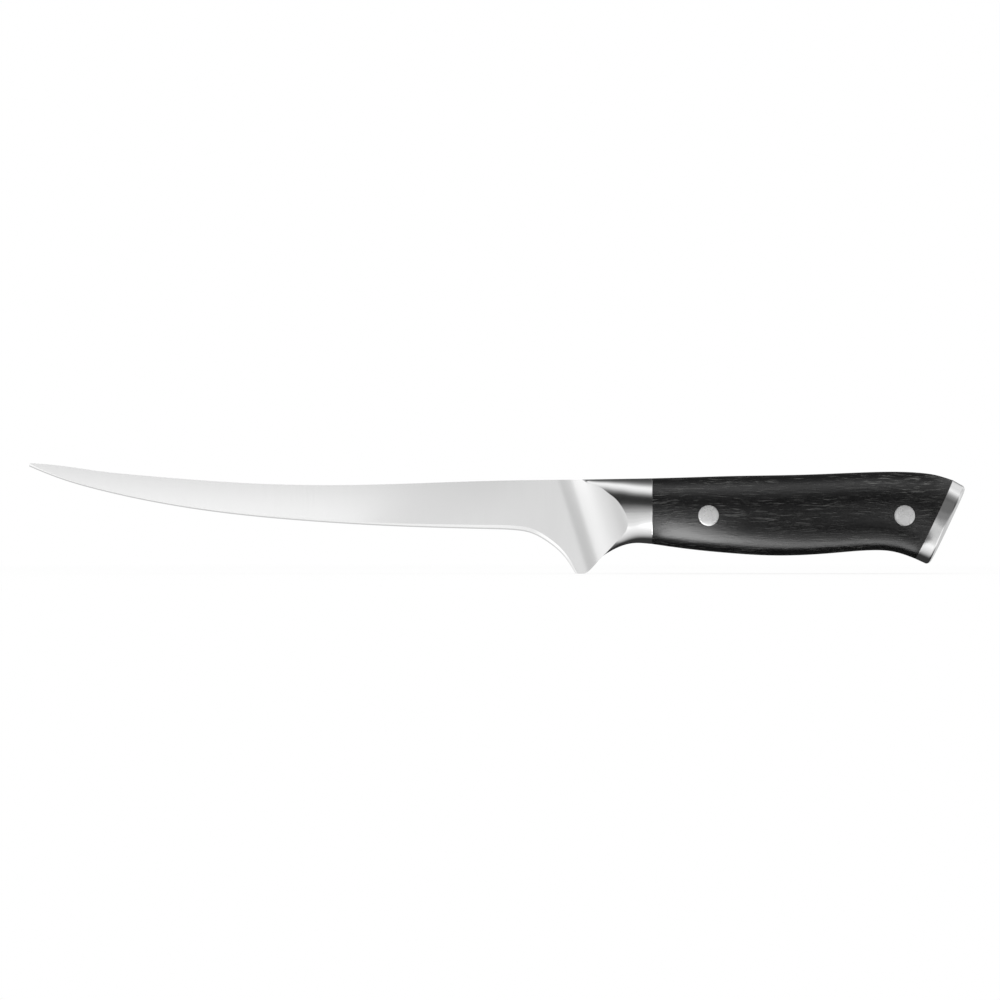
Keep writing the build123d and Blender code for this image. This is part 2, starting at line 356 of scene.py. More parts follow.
def shoulder_height(x):
    """Height above the edge at which bevel and flank meet, found by repeating from a first
    guess of 1 mm. Near the tip a share of the blade's width limits it."""
    height = np.full(np.shape(x), 1.0)
    for _ in range(SHOULDER_REPEATS):
        flank = ground_half(x, bottom_line(x) + height)
        over = flank - EDGE_HALF - EDGE_HEIGHT * tan(EDGE_ANGLE)
        height = (EDGE_HEIGHT + np.maximum(over, 0) / tan(BEVEL_ANGLE)) / edge_lean(x)
    return np.minimum(height, BEVEL_LIMIT_SHARE * (top_line(x) - bottom_line(x)))


def oval_side(angle, top, bottom, half, crown, lower_power=OVAL_POWER):
    """Side of an oval section: from the crown's edge the width grows by cos(angle) to the
    power 2/n and the height follows sin(angle) to the same power. The lower half has its
    own n."""
    power = np.where(angle < 0, lower_power, OVAL_POWER)
    across = crown + (half - crown) * np.clip(np.cos(angle), 0, 1) ** (2 / power)
    lift = np.sign(np.sin(angle)) * np.abs(np.sin(angle)) ** (2 / power)
    return across, (top + bottom) / 2 + (top - bottom) / 2 * lift


def neck_side(x, angle, inset=0.0):
    """Half width and height of the neck's oval at x and an angle, drawn in by an inset."""
    top, bottom = top_line(x) - inset, bottom_line(x) + inset
    half = neck_half(x) - inset
    return oval_side(angle, top, bottom, half, neck_crown_half(x), neck_lower_power(x))


def crease_place(angle):
    """Where the neck's oval meets the ground side, for each angle: halve the span until the
    oval's half width and the ground half thickness agree."""
    low = np.full(np.shape(angle), NECK_X)
    high = np.zeros(np.shape(angle))
    for _ in range(HALVINGS):
        middle = (low + high) / 2
        across, height = neck_side(middle, angle)
        cut = ground_half(middle, height) < across
        low = np.where(cut, middle, low)
        high = np.where(cut, high, middle)
    return (low + high) / 2


# The handle's sections: how far each stands above and below the spine line, its half
# width and its lean, along the scale
handle_shares = np.array(HANDLE_STATION_SHARES).T
handle_along, handle_top, handle_depth, handle_width, handle_lean = handle_shares
section_top = smooth_curve(handle_along, handle_top * HANDLE_DEPTH)
section_bottom = smooth_curve(handle_along, -handle_depth * HANDLE_DEPTH)
section_half = smooth_curve(handle_along, handle_width * HANDLE_THICKNESS / 2)
section_lean = smooth_curve(handle_along, handle_lean * CAP_RAKE)


def handle_side(along, angle):
    """Points of the handle's right side: an oval section at each share of the scale's
    length, in a plane that leans back by that section's lean."""
    across, lift = oval_side(
        angle, section_top(along), section_bottom(along), section_half(along), CROWN_HALF
    )
    lean = section_lean(along)
    x = along * SCALE_LENGTH + lift * np.sin(lean)
    z = HEEL_DEPTH + lift * np.cos(lean)
    return np.stack([x, across, z], axis=-1)


def handle_half(x, z):
    """Half width of the handle at (x, z). The section through that point is found by
    repeating: its share is x less the section's lean. The half width is the crown's edge
    and the oval's reach, which falls with the nth power of the height in the section."""
    along = x / SCALE_LENGTH
    for _ in range(LEAN_REPEATS):
        lean = section_lean(along)
        lift = (z - HEEL_DEPTH) / np.cos(lean)
        along = (x - lift * np.sin(lean)) / SCALE_LENGTH
    top, bottom = section_top(along), section_bottom(along)
    place = np.clip(np.abs(2 * lift - top - bottom) / (top - bottom), 0, 1)
    reach = section_half(along) - CROWN_HALF
    return CROWN_HALF + reach * (1 - place**OVAL_POWER) ** (1 / OVAL_POWER)


def cap_side(behind, inset, angle):
    """Points of the cap's right side at a depth behind its seat, drawn in by an inset. The
    sections blend from the scales' last one to the butt's, square to the cap's rake."""
    seat = np.array(HANDLE_STATION_SHARES[-1][1:4])[:, None]
    butt = np.array(BUTT_SHARES)[:, None]
    top, depth, width = seat + (butt - seat) * behind / CAP_THICKNESS
    across, lift = oval_side(
        angle,
        (top * HANDLE_DEPTH - inset)[:, None],
        (inset - depth * HANDLE_DEPTH)[:, None],
        (width * HANDLE_THICKNESS / 2 - inset)[:, None],
        CROWN_HALF,
    )
    x = SCALE_LENGTH + behind[:, None] * cos(CAP_RAKE) + lift * sin(CAP_RAKE)
    z = HEEL_DEPTH - behind[:, None] * sin(CAP_RAKE) + lift * cos(CAP_RAKE)
    return np.stack([x, across, z], axis=-1)


class Shell:
    """Grids of points that together close one piece."""

    def __init__(self):
        self.points = []
        self.quads = []
        self.finishes = []
        self.count = 0

    def lay(self, points, finish=0, wrap=False, keep=None):
        """Lay a grid of points, rows by columns, and join each point to its neighbours. A
        wrapped grid also joins its last column to its first. Cells outside keep stay open."""
        rows, columns = points.shape[:2]
        index = self.count + np.arange(rows * columns).reshape(rows, columns)
        if wrap:
            index = np.column_stack([index, index[:, :1]])
        cells = np.stack([index[:-1, :-1], index[1:, :-1], index[1:, 1:], index[:-1, 1:]], axis=-1)
        cells = cells.reshape(-1, 4) if keep is None else cells[keep]
        self.points.append(points.reshape(-1, 3))
        self.quads.append(cells)
        self.finishes.append(np.full(len(cells), finish))
        self.count += rows * columns

    def lay_both(self, points, finish=0):
        """Lay a grid of the right side and its mirror image on the left."""
        self.lay(points, finish)
        self.lay(points * np.array([1, -1, 1]), finish)

    def close_across(self, line, finish=0):
        """Close the gap between a line on the right side and its mirror image: each point is
        carried across the knife in equal steps."""
        steps = np.linspace(-1, 1, CROWN_STEPS + 1)
        grid = np.repeat(line[:, None, :], len(steps), axis=1)
        grid[..., 1] = line[:, 1:2] * steps
        self.lay(grid, finish)

    def on_side(self, outward):
        """The shell on one side of the knife: 1 leaves it on the right, -1 mirrors it to the
        left."""
        self.points = [points * np.array([1, outward, 1]) for points in self.points]
        return self


def make_piece(name, shell, finishes, nodes):
    """Make a piece of a shell: points in the frame's metres, doubles merged, faces turned
    outwards, smooth apart from its creases."""
    points = (np.concatenate(shell.points) * MM + np.array([FRAME_X, 0, 0])).astype(np.float32)
    quads = np.concatenate(shell.quads)
    mesh = bpy.data.meshes.new(name)
    mesh.vertices.add(len(points))
    mesh.vertices.foreach_set("co", points.ravel())
    mesh.loops.add(quads.size)
    mesh.loops.foreach_set("vertex_index", quads.ravel())
    mesh.polygons.add(len(quads))
    mesh.polygons.foreach_set("loop_start", np.arange(0, quads.size, 4))
    mesh.polygons.foreach_set("material_index", np.concatenate(shell.finishes))
    mesh.update(calc_edges=True)
    clean = bmesh.new()
    clean.from_mesh(mesh)
    bmesh.ops.remove_doubles(clean, verts=clean.verts, dist=MERGE_DISTANCE * MM)
    bmesh.ops.dissolve_degenerate(clean, edges=clean.edges, dist=THIN_DISTANCE * MM)
    bmesh.ops.recalc_face_normals(clean, faces=clean.faces)
    clean.to_mesh(mesh)
    clean.free()
    mesh.shade_smooth()
    mesh.set_sharp_from_angle(angle=CREASE_ANGLE)
    for finish in finishes:
        mesh.materials.append(finish)
    piece = bpy.data.objects.new(name, mesh)
    bpy.context.scene.collection.objects.link(piece)
    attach(piece, "root")
    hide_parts(*nodes)


def side_columns(rows, crease_x, crease_z):
    """Side view of the ground side's grid, from the tip to the crease, and the x at which
    each of its columns stands on the edge. The first columns are upright. The others blend
    from the last upright one to the crease, and each is then moved so that its lower end
    stays on the bevel's shoulder and its upper end on the spine."""
    quarter = np.linspace(0, pi / 2, ARC_STEPS + 1)
    tip_columns = TIP_X + TIP_RADIUS * (1 - np.cos(quarter))
    blade_columns = np.linspace(tip_columns[-1], LEAN_X, BLADE_STEPS + 1)[1:]
    upright = np.concatenate([tip_columns, blade_columns])
    low = bottom_line(upright) + shoulder_height(upright)
    high = top_line(upright)
    upright_x = np.repeat(upright[:, None], len(rows), axis=1)
    upright_z = low[:, None] + (high - low)[:, None] * rows

    share = np.linspace(0, 1, SCOOP_STEPS + 1)[1:, None]
    low_x = LEAN_X + share[:, 0] * (crease_x[0] - LEAN_X)
    high_x = LEAN_X + share[:, 0] * (crease_x[-1] - LEAN_X)
    corner_x = HEEL_START_X + FADE_SETBACK
    fade = np.clip((crease_x[0] - low_x) / (crease_x[0] - corner_x), 0, 1)
    low_z = bottom_line(low_x) + shoulder_height(np.minimum(low_x, corner_x)) * fade
    blend_x = (1 - share) * LEAN_X + share * crease_x
    blend_z = (1 - share) * upright_z[-1] + share * crease_z
    lean_z = blend_z + (1 - rows) * (low_z[:, None] - blend_z[:, :1])
    lean_z = lean_z + rows * (top_line(high_x)[:, None] - blend_z[:, -1:])

    side_x = np.concatenate([upright_x, blend_x])
    side_z = np.concatenate([upright_z, lean_z])
    return side_x, side_z, np.concatenate([upright, low_x])


def ground_side(rows, crease_x, crease_half, crease_z):
    """Points of the ground side, and the x of the edge below each column. The flank swells
    by 4 t (1 - t) times the bulge, where t is the share of its height. The bulge falls with
    the square of the blade's width and fades out towards the leaning columns."""
    side_x, side_z, edge_x = side_columns(rows, crease_x, crease_z)
    width = (side_z[:, -1:] - side_z[:, :1]) / BLADE_WIDTH
    bulge = FLANK_BULGE * width**2 * np.clip((LEAN_X - side_x[:, :1]) / BLADE_WIDTH, 0, 1)
    side_half = blade_half(side_x, side_z) + bulge * 4 * rows * (1 - rows)
    side = np.stack([side_x, side_half, side_z], axis=-1)
    side[-1, :, 1] = crease_half
    return side, edge_x


def bevel_side(side, edge_x):
    """Points of the bevel, from the edge up to the ground side: equal steps up the cutting
    edge, then equal steps up the bevel above it."""
    edge_z = bottom_line(edge_x)
    tall = side[:, 0, 2] - edge_z
    sharp = np.minimum(EDGE_HEIGHT / edge_lean(edge_x), tall / 2)
    steps = np.linspace(0, 1, BEVEL_STEPS + 1)
    lower = sharp[:, None] * steps
    upper = sharp[:, None] + (tall - sharp)[:, None] * steps[1:]
    bevel_z = edge_z[:, None] + np.concatenate([lower, upper], axis=1)
    bevel_x = np.repeat(edge_x[:, None], bevel_z.shape[1], axis=1)
    bevel = np.stack([bevel_x, blade_half(bevel_x, bevel_z), bevel_z], axis=-1)
    bevel[-1, :, 1] = side[-1, 0, 1]
    bevel[:, -1] = side[:, 0]
    return bevel


def neck_oval(angles, crease_x):
    """Points of the neck's oval, in equal steps from the crease to the rear face, whose rim
    is eased by a quarter circle."""
    back = np.linspace(1, 0, NECK_STEPS + 1)[:, None]
    turn = np.linspace(0, pi / 2, ARC_STEPS // 2 + 1)[1:, None]
    eased_x = np.repeat(BOLSTER_EASE * (np.sin(turn) - 1), len(angles), axis=1)
    neck_x = np.concatenate([back * (crease_x + BOLSTER_EASE) - BOLSTER_EASE, eased_x])
    inset = np.concatenate([back * 0, BOLSTER_EASE * (1 - np.cos(turn))])
    neck_across, neck_z = neck_side(neck_x, angles, inset)
    return np.stack([neck_x, neck_across, neck_z], axis=-1)


def make_blade():
    """The forging: the ground side runs from the tip to the crease, the bevel lies below it,
    the neck's oval runs from the crease to the rear face, and the tang goes on from there.
    All of them are drawn on the right, mirrored, and closed across the thickness."""
    shell = Shell()
    satin, polished, tang = 0, 1, 2
    rows = np.linspace(0, 1, OVAL_STEPS + 1)
    angles = pi * (rows - 0.5)
    crease_x = crease_place(angles)
    crease_half, crease_z = neck_side(crease_x, angles)
    side, edge_x = ground_side(rows, crease_x, crease_half, crease_z)
    bevel = bevel_side(side, edge_x)
    neck = neck_oval(angles, crease_x)
    shell.lay_both(side, satin)
    shell.lay_both(bevel, satin)
    shell.lay_both(neck, polished)

    # Spine, crown, edge and underside, and the blunt end of the tip
    shell.close_across(side[:, -1], satin)
    shell.close_across(neck[:, -1], polished)
    shell.close_across(bevel[:, 0], satin)
    shell.close_across(neck[:, 0], polished)
    shell.close_across(np.concatenate([bevel[0], side[0, 1:]]), satin)

    # Rear face, drawn in to the tang, and the tang between the scales
    along = np.linspace(0, 1, HANDLE_STEPS // 2 + 1)[:, None]
    tang_side = handle_side(along, angles)
    tang_side[..., 1] = np.minimum(tang_side[..., 1], TANG_HALF)
    shell.lay_both(np.stack([neck[-1], tang_side[0]]), polished)
    shell.lay_both(tang_side, tang)
    shell.close_across(tang_side[:, -1], tang)
    shell.close_across(tang_side[:, 0], tang)
    shell.close_across(tang_side[-1], tang)
    return shell


def window_edge(near):
    """Rows and columns of the points around a window in a grid, in turn: down its first
    column, along its last row, up its last column and back along its first row."""
    rows = np.flatnonzero(near.any(axis=1))
    columns = np.flatnonzero(near.any(axis=0))
    row_parts = [rows[:-1], np.full(len(columns) - 1, rows[-1])]
    row_parts += [rows[:0:-1], np.full(len(columns) - 1, rows[0])]
    column_parts = [np.full(len(rows) - 1, columns[0]), columns[:-1]]
    column_parts += [np.full(len(rows) - 1, columns[-1]), columns[:0:-1]]
    return np.concatenate(row_parts), np.concatenate(column_parts)


def hole_rings(window, x):
    """Rings of points around a rivet's hole at x: from the window in the scale's outer side
    to the head's hole, down to the head's seat, in to the shank's hole, through to the inner
    side and out to the window again. A ring is a circle, with a point towards each point of
    the window, or a blend of that circle and the window."""
    centre = np.array([x, RIVET_Z])
    rim = window[:, [0, 2]]
    spokes = rim - centre
    spokes = spokes / np.linalg.norm(spokes, axis=1)[:, None]

    def ring(radius, half=None, blend=1.0):
        """One ring at a half width, or on the handle's side where none is given."""
        flat = rim * (1 - blend) + (centre + spokes * radius) * blend
        if half is None:
            half = handle_half(flat[:, 0], flat[:, 1])
        return np.stack([flat[:, 0], np.broadcast_to(half, len(flat)), flat[:, 1]], axis=-1)

    head_hole = HEAD_RADIUS + RIVET_CLEARANCE
    shank_hole = TUBE_RADIUS + RIVET_CLEARANCE
    inwards = np.linspace(0, 1, HOLE_STEPS + 1)[1:]
    outwards = np.linspace(1, 0, HOLE_STEPS // 2 + 1)
    rings = [window]
    rings += [ring(head_hole, blend=blend) for blend in inwards]
    rings += [ring(head_hole, RIVET_SEAT), ring(shank_hole, RIVET_SEAT)]
    rings += [ring(shank_hole, TANG_HALF, blend) for blend in outwards]
    return np.array(rings)


def make_scale(outward):
    """A scale: its outer side follows the handle's sections down to the tang on both edges,
    and its inner side lies on the tang. Around each rivet both sides have a window, which
    the rings of the rivet's hole fill."""
    shell = Shell()
    along = np.linspace(0, 1, HANDLE_STEPS + 1)[:, None]
    tang_share = (TANG_HALF - CROWN_HALF) / (section_half(along) - CROWN_HALF)
    reach = np.arccos(tang_share ** (OVAL_POWER / 2))
    outer = handle_side(along, reach * np.linspace(-1, 1, OVAL_STEPS + 1))
    inner = outer.copy()
    inner[..., 1] = TANG_HALF
    keep = np.ones((HANDLE_STEPS, OVAL_STEPS), bool)
    for x in RIVET_X.values():
        near = np.abs(outer[..., 0] - x) < WINDOW_HALF
        near &= np.abs(outer[..., 2] - RIVET_Z) < WINDOW_HALF
        rows, columns = window_edge(near)
        keep[rows.min():rows.max(), columns.min():columns.max()] = False
        shell.lay(hole_rings(outer[rows, columns], x), wrap=True)
    shell.lay(outer, keep=keep)
    shell.lay(inner, keep=keep)
    shell.lay(np.stack([outer[0], inner[0]]))
    shell.lay(np.stack([outer[-1], inner[-1]]))
    return shell.on_side(outward)


def make_rivet_half(x, outward, shank_radius, shank_length, bore_radius):
    """Half of a rivet: rings around its axis. The head's face follows the handle's side, its
    rim is eased, and a shank runs inwards. A tube's shank ends in a blind bore."""
    turn = np.linspace(0, 2 * pi, RIVET_TURN_STEPS + 1)[:-1]
    shank_end = RIVET_SEAT - shank_length

    def ring(radius, half=None, ease=0.0):
        """One ring at a half width, or on the handle's side, drawn in by the ease."""
        across = x + radius * np.cos(turn)
        up = RIVET_Z + radius * np.sin(turn)
        if half is None:
            half = handle_half(across, up) - ease
        return np.stack([across, np.broadcast_to(half, len(turn)), up], axis=-1)

    face_radius = HEAD_RADIUS - HEAD_EASE
    rings = [ring(radius) for radius in np.linspace(0, face_radius, HEAD_STEPS + 1)]
    for angle in np.linspace(0, pi / 2, HEAD_EASE_STEPS + 1)[1:]:
        rim_radius = HEAD_RADIUS - HEAD_EASE * (1 - sin(angle))
        rings.append(ring(rim_radius, ease=HEAD_EASE * (1 - cos(angle))))
    rings += [ring(HEAD_RADIUS, RIVET_SEAT), ring(shank_radius, RIVET_SEAT)]
    rings.append(ring(shank_radius, shank_end))
    if bore_radius > 0:
        rings += [ring(bore_radius, shank_end), ring(bore_radius, shank_end + PIN_LENGTH)]
        shank_end += PIN_LENGTH
    rings.append(ring(0.0, shank_end))
    shell = Shell()
    shell.lay(np.array(rings), wrap=True)
    return shell.on_side(outward)


def make_cap():
    """The cap: oval sections from its seat on the scales to the butt, where a quarter
    circle draws them in."""
    shell = Shell()
    angles = pi * (np.linspace(0, 1, OVAL_STEPS + 1) - 0.5)
    straight = np.linspace(0, CAP_THICKNESS - CAP_EDGE_RADIUS, CAP_STEPS + 1)
    turn = np.linspace(0, pi / 2, ARC_STEPS + 1)[1:]
    behind = np.concatenate([straight, straight[-1] + CAP_EDGE_RADIUS * np.sin(turn)])
    inset = np.concatenate([straight * 0, CAP_EDGE_RADIUS * (1 - np.cos(turn))])
    side = cap_side(behind, inset, angles)
    shell.lay_both(side)
    shell.close_across(side[:, -1])
    shell.close_across(side[:, 0])
    shell.close_across(side[0])
    shell.close_across(side[-1])
    return shell


def node_tools(tree):
    """Two helpers for a node tree. The first adds a node, with its settings, and sets or
    wires its inputs. The second wires an output to an input."""

    def wire(source, target):
        tree.links.new(source, target)

    def add(kind, inputs=None, **settings):
        node = tree.nodes.new(kind)
        for key, value in settings.items():
            setattr(node, key, value)
        for key, value in (inputs or {}).items():
            if isinstance(value, bpy.types.NodeSocket):
                wire(value, node.inputs[key])
            else:
                node.inputs[key].default_value = value
        return node

    return add, wire


def new_finish(name):
    """A new material, its shader and the two helpers for its nodes."""
    finish = bpy.data.materials.new(name)
    finish.use_nodes = True
    add, wire = node_tools(finish.node_tree)
    return finish, finish.node_tree.nodes["Principled BSDF"], add, wire


def stretched_noise(add, place, scale, **inputs):
    """Noise at a place that is first stretched along each axis by the scale."""
    stretched = add("ShaderNodeMapping", {"Vector": place, "Scale": scale})
    settings = {"Vector": stretched.outputs["Vector"], "Scale": 1.0, "Detail": 3.0}
    return add("ShaderNodeTexNoise", {**settings, **inputs}).outputs["Fac"]


def steel_finish(name, grey, roughness, spread, streak_scale, streak_depth, metallic=1.0):
    """Steel with fine grinding streaks: noise drawn out along the streaks gives a relief of
    the streaks' depth, in metres, and moves the roughness by the spread to either side."""
    finish, shader, add, wire = new_finish(name)
    shader.inputs["Metallic"].default_value = metallic
    shader.inputs["Base Color"].default_value = (grey, grey, grey, 1)
    place = add("ShaderNodeTexCoord").outputs["Object"]
    streaks = stretched_noise(add, place, streak_scale)
    rough = add(
        "ShaderNodeMapRange",
        {
            "Value": streaks,
            "From Min": 0.3,
            "From Max": 0.7,
            "To Min": roughness - spread,
            "To Max": roughness + spread,
        },
    )
    wire(rough.outputs["Result"], shader.inputs["Roughness"])
    relief = add(
        "ShaderNodeBump", {"Height": streaks, "Strength": 1.0, "Distance": streak_depth}
    )
    wire(relief.outputs["Normal"], shader.inputs["Normal"])
    return finish


def wood_finish(name):
    """Black laminated wood. Short noise, drawn out along the handle and bent a little by
    wider noise, gives pale grain dashes, stronger and fainter in clouds, which are rougher
    than the black between them and stand up a little."""
    finish, shader, add, wire = new_finish(name)
    place = add("ShaderNodeTexCoord").outputs["Object"]
    waves = add("ShaderNodeTexNoise", {"Vector": place, "Scale": 45.0, "Detail": 2.0})
    bend = add(
        "ShaderNodeVectorMath", {0: waves.outputs["Color"], 1: (0.0, 0.0, 0.004)}, operation="MULTIPLY"
    )
    bent = add("ShaderNodeVectorMath", {0: place, 1: bend.outputs["Vector"]}, operation="ADD")
    grain = stretched_noise(add, bent.outputs["Vector"], (210.0, 900.0, 3400.0), Roughness=0.6)
    clouds = stretched_noise(add, bent.outputs["Vector"], (40.0, 90.0, 160.0))
    dashes = add("ShaderNodeMapRange", {"Value": grain, "From Min": 0.55, "From Max": 0.68})
    strength = add(
        "ShaderNodeMapRange",
        {"Value": clouds, "From Min": 0.35, "From Max": 0.65, "To Min": 0.15, "To Max": 1.0},
    )
    marks = add(
        "ShaderNodeMath",
        {0: dashes.outputs["Result"], 1: strength.outputs["Result"]},
        operation="MULTIPLY",
    )
    tint = add("ShaderNodeValToRGB", {"Fac": marks.outputs["Value"]})
    black, pale = tint.color_ramp.elements
    black.color = (0.002, 0.002, 0.0022, 1)
    pale.color = (0.095, 0.095, 0.092, 1)
    wire(tint.outputs["Color"], shader.inputs["Base Color"])
    rough = add(
        "ShaderNodeMapRange", {"Value": marks.outputs["Value"], "To Min": 0.24, "To Max": 0.4}
    )
    wire(rough.outputs["Result"], shader.inputs["Roughness"])
    shader.inputs["Specular IOR Level"].default_value = 0.8
    relief = add("ShaderNodeBump", {"Height": grain, "Strength": 0.8, "Distance": 0.00009})
    wire(relief.outputs["Normal"], shader.inputs["Normal"])
    return finish


satin_ground_steel = steel_finish(
    "satin_ground_steel",
    grey=0.80,
    roughness=0.17,
    spread=0.008,
    streak_scale=(2500.0, 2500.0, 40.0),
    streak_depth=3.5e-8,
)
polished_bolster_steel = steel_finish(
    "polished_bolster_steel",
    grey=0.80,
    roughness=0.12,
    spread=0.015,
    streak_scale=(60.0, 2500.0, 2500.0),
    streak_depth=1e-7,
)
tang_steel = steel_finish(
    "tang_steel",
    grey=0.66,
    roughness=0.3,
    spread=0.04,
    streak_scale=(60.0, 2500.0, 2500.0),
    streak_depth=3e-7,
)
polished_cap_steel = steel_finish(
    "polished_cap_steel",
    grey=0.80,
    roughness=0.14,
    spread=0.02,
    streak_scale=(60.0, 2000.0, 2000.0),
    streak_depth=2e-7,
)
# Rivet heads: satin steel that is only partly metallic. Its plain grey diffuse share is a painted
# reflection, which keeps the heads bright where the steel would mirror the dark cards below the
# handle.
rivet_steel_with_painted_reflection = steel_finish(
    "rivet_steel_with_painted_reflection",
    grey=0.76,
    roughness=0.27,
    spread=0.02,
    streak_scale=(300.0, 300.0, 300.0),
    streak_depth=2e-8,
    metallic=0.6,
)
black_wood = wood_finish("black_laminated_wood")

make_piece(
    "blade_bolster_and_tang",
    make_blade(),
    [satin_ground_steel, polished_bolster_steel, tang_steel],
    ["forged_blade"],
)
for side_name, outward in (("left", -1), ("right", 1)):
    scale = make_scale(outward)
    make_piece(
        f"{side_name}_wood_scale", scale, [black_wood], [f"{side_name}_scale"]
    )
make_piece("steel_end_cap", make_cap(), [polished_cap_steel], ["end_cap"])
for place_name, x in RIVET_X.items():
    tube = make_rivet_half(x, -1, TUBE_RADIUS, TUBE_LENGTH, PIN_RADIUS)
    pin = make_rivet_half(x, 1, PIN_RADIUS, PIN_LENGTH, 0.0)
    for half_name, half in (("tube", tube), ("pin", pin)):
        make_piece(
            f"{place_name}_rivet_{half_name}_half",
            half,
            [rivet_steel_with_painted_reflection],
            [f"{place_name}_rivet_{half_name}"],
        )


def make_floor():
    """Plain white floor. The camera sees it mixed with plain white, so that the shadow stays
    faint: mostly white near the knife, and all white from the clear distance outwards."""
    half = 40.0
    near_distance, clear_distance = 0.2, 0.42
    near_white = 0.82
    mesh = bpy.data.meshes.new("floor")
    corners = [(-half, -half, 0), (half, -half, 0), (half, half, 0), (-half, half, 0)]
    mesh.from_pydata(corners, [], [(0, 1, 2, 3)])
    floor = bpy.data.objects.new("floor", mesh)
    bpy.context.scene.collection.objects.link(floor)
    floor.visible_glossy = False
    finish, shader, add, wire = new_finish("pale_floor")
    shader.inputs["Base Color"].default_value = (0.93, 0.93, 0.93, 1)
    shader.inputs["Roughness"].default_value = 1.0
    shader.inputs["Specular IOR Level"].default_value = 0.0
    white = add("ShaderNodeEmission", {"Color": (1, 1, 1, 1), "Strength": 1.0})
    place = add("ShaderNodeTexCoord").outputs["Object"]
    distance = add("ShaderNodeVectorMath", {0: place}, operation="LENGTH")
    far = add(
        "ShaderNodeMapRange",
        {
            "Value": distance.outputs["Value"],
            "From Min": near_distance,
            "From Max": clear_distance,
            "To Min": near_white,
            "To Max": 1.0,
        },
        interpolation_type="SMOOTHSTEP",
    )
    path = add("ShaderNodeLightPath")
    share = add(
        "ShaderNodeMath",
        {0: far.outputs["Result"], 1: path.outputs["Is Camera Ray"]},
        operation="MULTIPLY",
    )
    mixed = add(
        "ShaderNodeMixShader",
        {0: share.outputs["Value"], 1: shader.outputs["BSDF"], 2: white.outputs["Emission"]},
    )
    output = finish.node_tree.nodes["Material Output"]
    wire(mixed.outputs["Shader"], output.inputs["Surface"])
    mesh.materials.append(finish)


# Brightness of the studio by the angle around the X axis: 0 is level towards the front, 90
# is overhead and -90 is below
STUDIO_LEVELS = [
    (-180, 0.04), (-93, 0.04), (-86, 0.12), (-76, 0.38), (-66, 0.66), (-57, 0.86),
    (-44, 1.1), (-34, 1.18), (-18, 1.1), (-11, 0.97), (-5, 0.86), (-1, 0.7), (2, 0.42),
    (6, 0.17), (10, 0.05), (18, 0.03), (26, 0.05), (33, 0.28), (40, 0.68), (46, 0.95),
    (57, 1.15), (66, 0.95), (75, 0.55), (87, 0.27), (100, 0.14), (120, 0.08), (180, 0.08),
]

# Windows in that brightness. Each has a share by the same angle, and levels by the part of
# the direction that lies along X, from -1 at due left to 1 at due right. Where the share is
# 1, the brightness is multiplied by the level.

# The front below the level, as the blade's flank and the hollow show it
SIDE_SHARES = [(-180, 0.0), (-45, 0.0), (-30, 1.0), (-1, 1.0), (4, 0.3), (8, 0.0), (180, 0.0)]
SIDE_LEVELS = [
    (-1.0, 0.5), (-0.83, 0.54), (-0.735, 0.75), (-0.6, 0.9), (-0.455, 1.16), (-0.38, 1.28),
    (-0.285, 1.34), (-0.262, 0.77), (-0.05, 0.77), (-0.022, 1.3), (0.0, 1.34), (0.03, 1.34),
    (0.15, 0.85), (0.5, 0.45), (1.0, 0.4),
]

# A darker stretch in front of the bolster
NECK_SHARES = [(-180, 0.0), (-12, 0.0), (-7, 1.0), (3, 1.0), (7, 0.0), (180, 0.0)]
NECK_LEVELS = [
    (-1.0, 1.0), (-0.62, 1.0), (-0.52, 0.66), (-0.36, 0.66), (-0.28, 1.0), (1.0, 1.0),
]

# The light overhead, which fades towards the butt
TOP_SHARES = [(-180, 0.0), (25, 0.0), (35, 1.0), (90, 1.0), (105, 0.0), (180, 0.0)]
TOP_LEVELS = [(-1.0, 1.0), (-0.01, 1.0), (0.05, 0.58), (0.1, 0.36), (0.3, 0.36), (1.0, 0.3)]

# A dark stretch below the neck, seen in its underside just behind the heel
HEEL_SHARES = [(-180, 0.0), (-100, 0.0), (-90, 1.0), (-60, 1.0), (-48, 0.0), (180, 0.0)]
HEEL_LEVELS = [(-1.0, 1.0), (0.05, 1.0), (0.2, 0.3), (1.0, 0.3)]

WINDOWS = [
    (SIDE_SHARES, SIDE_LEVELS),
    (NECK_SHARES, NECK_LEVELS),
    (TOP_SHARES, TOP_LEVELS),
    (HEEL_SHARES, HEEL_LEVELS),
]

# Light from past the butt, above and behind, which is added to the brightness
BUTT_LIGHT_SHARES = [(-180, 1.0), (-160, 1.0), (-140, 0.0), (45, 0.0), (65, 1.0), (180, 1.0)]
BUTT_LEVELS = [(-1.0, 0.0), (0.18, 0.0), (0.42, 0.78), (0.6, 0.78), (0.8, 0.35), (1.0, 0.35)]

# White wall past the butt, seen in the cap's rim and added at every angle
WALL_LEVELS = [(-1.0, 0.0), (0.7, 0.0), (0.85, 0.4), (1.0, 0.4)]


